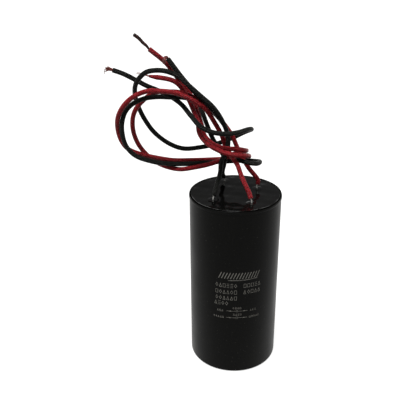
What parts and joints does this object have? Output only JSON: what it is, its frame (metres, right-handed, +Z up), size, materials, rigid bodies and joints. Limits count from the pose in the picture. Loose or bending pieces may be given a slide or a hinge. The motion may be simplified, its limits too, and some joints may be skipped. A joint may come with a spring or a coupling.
{
  "type": "film capacitor",
  "caption": "Round black moulded motor film capacitor, potted in resin at its open end, with red and black insulated leads folded in a loose bundle and stripped at their ends.",
  "frame": {"origin": "centre of the can's flat base, on the surface that it stands on", "axes": "+Z up along the can's axis to its potted mouth; -Y is the side with the print and the front leads; the leads' bundle lies towards -X"},
  "size_m": [0.0932, 0.0514, 0.1898],
  "materials": {
    "can_plastic": "satin moulded black",
    "casting_resin": "cast glossy black, slightly wavy",
    "metallised_film": "wound metallised film",
    "core_plastic": "extruded, plain",
    "sprayed_zinc": "rough sprayed zinc",
    "spacer_plastic": "moulded, plain",
    "tinned_copper": "bright tinned wire",
    "solder_alloy": "bright solder",
    "red_pvc": "smooth red insulation",
    "black_pvc": "smooth black insulation",
    "bare_copper": "dull twisted copper strands"
  },
  "bodies": {
    "root": {"can": "can_plastic", "potting_resin": "casting_resin", "winding_large": "metallised_film", "winding_small": "metallised_film", "core_tube_large": "core_plastic", "core_tube_small": "core_plastic", "end_contact_large_bottom": "sprayed_zinc", "end_contact_large_top": "sprayed_zinc", "end_contact_small_bottom": "sprayed_zinc", "end_contact_small_top": "sprayed_zinc", "base_spacer": "spacer_plastic", "middle_spacer": "spacer_plastic", "tail_black_front": "tinned_copper", "solder_black_front": "solder_alloy", "lead_black_front": "black_pvc", "bare_end_black_front": "bare_copper", "tail_black_back": "tinned_copper", "solder_black_back": "solder_alloy", "lead_black_back": "black_pvc", "bare_end_black_back": "bare_copper", "tail_red_front": "tinned_copper", "solder_red_front": "solder_alloy", "lead_red_front": "red_pvc", "bare_end_red_front": "bare_copper", "tail_red_back": "tinned_copper", "solder_red_back": "solder_alloy", "lead_red_back": "red_pvc", "bare_end_red_back": "bare_copper"}
  },
  "joints": []
}
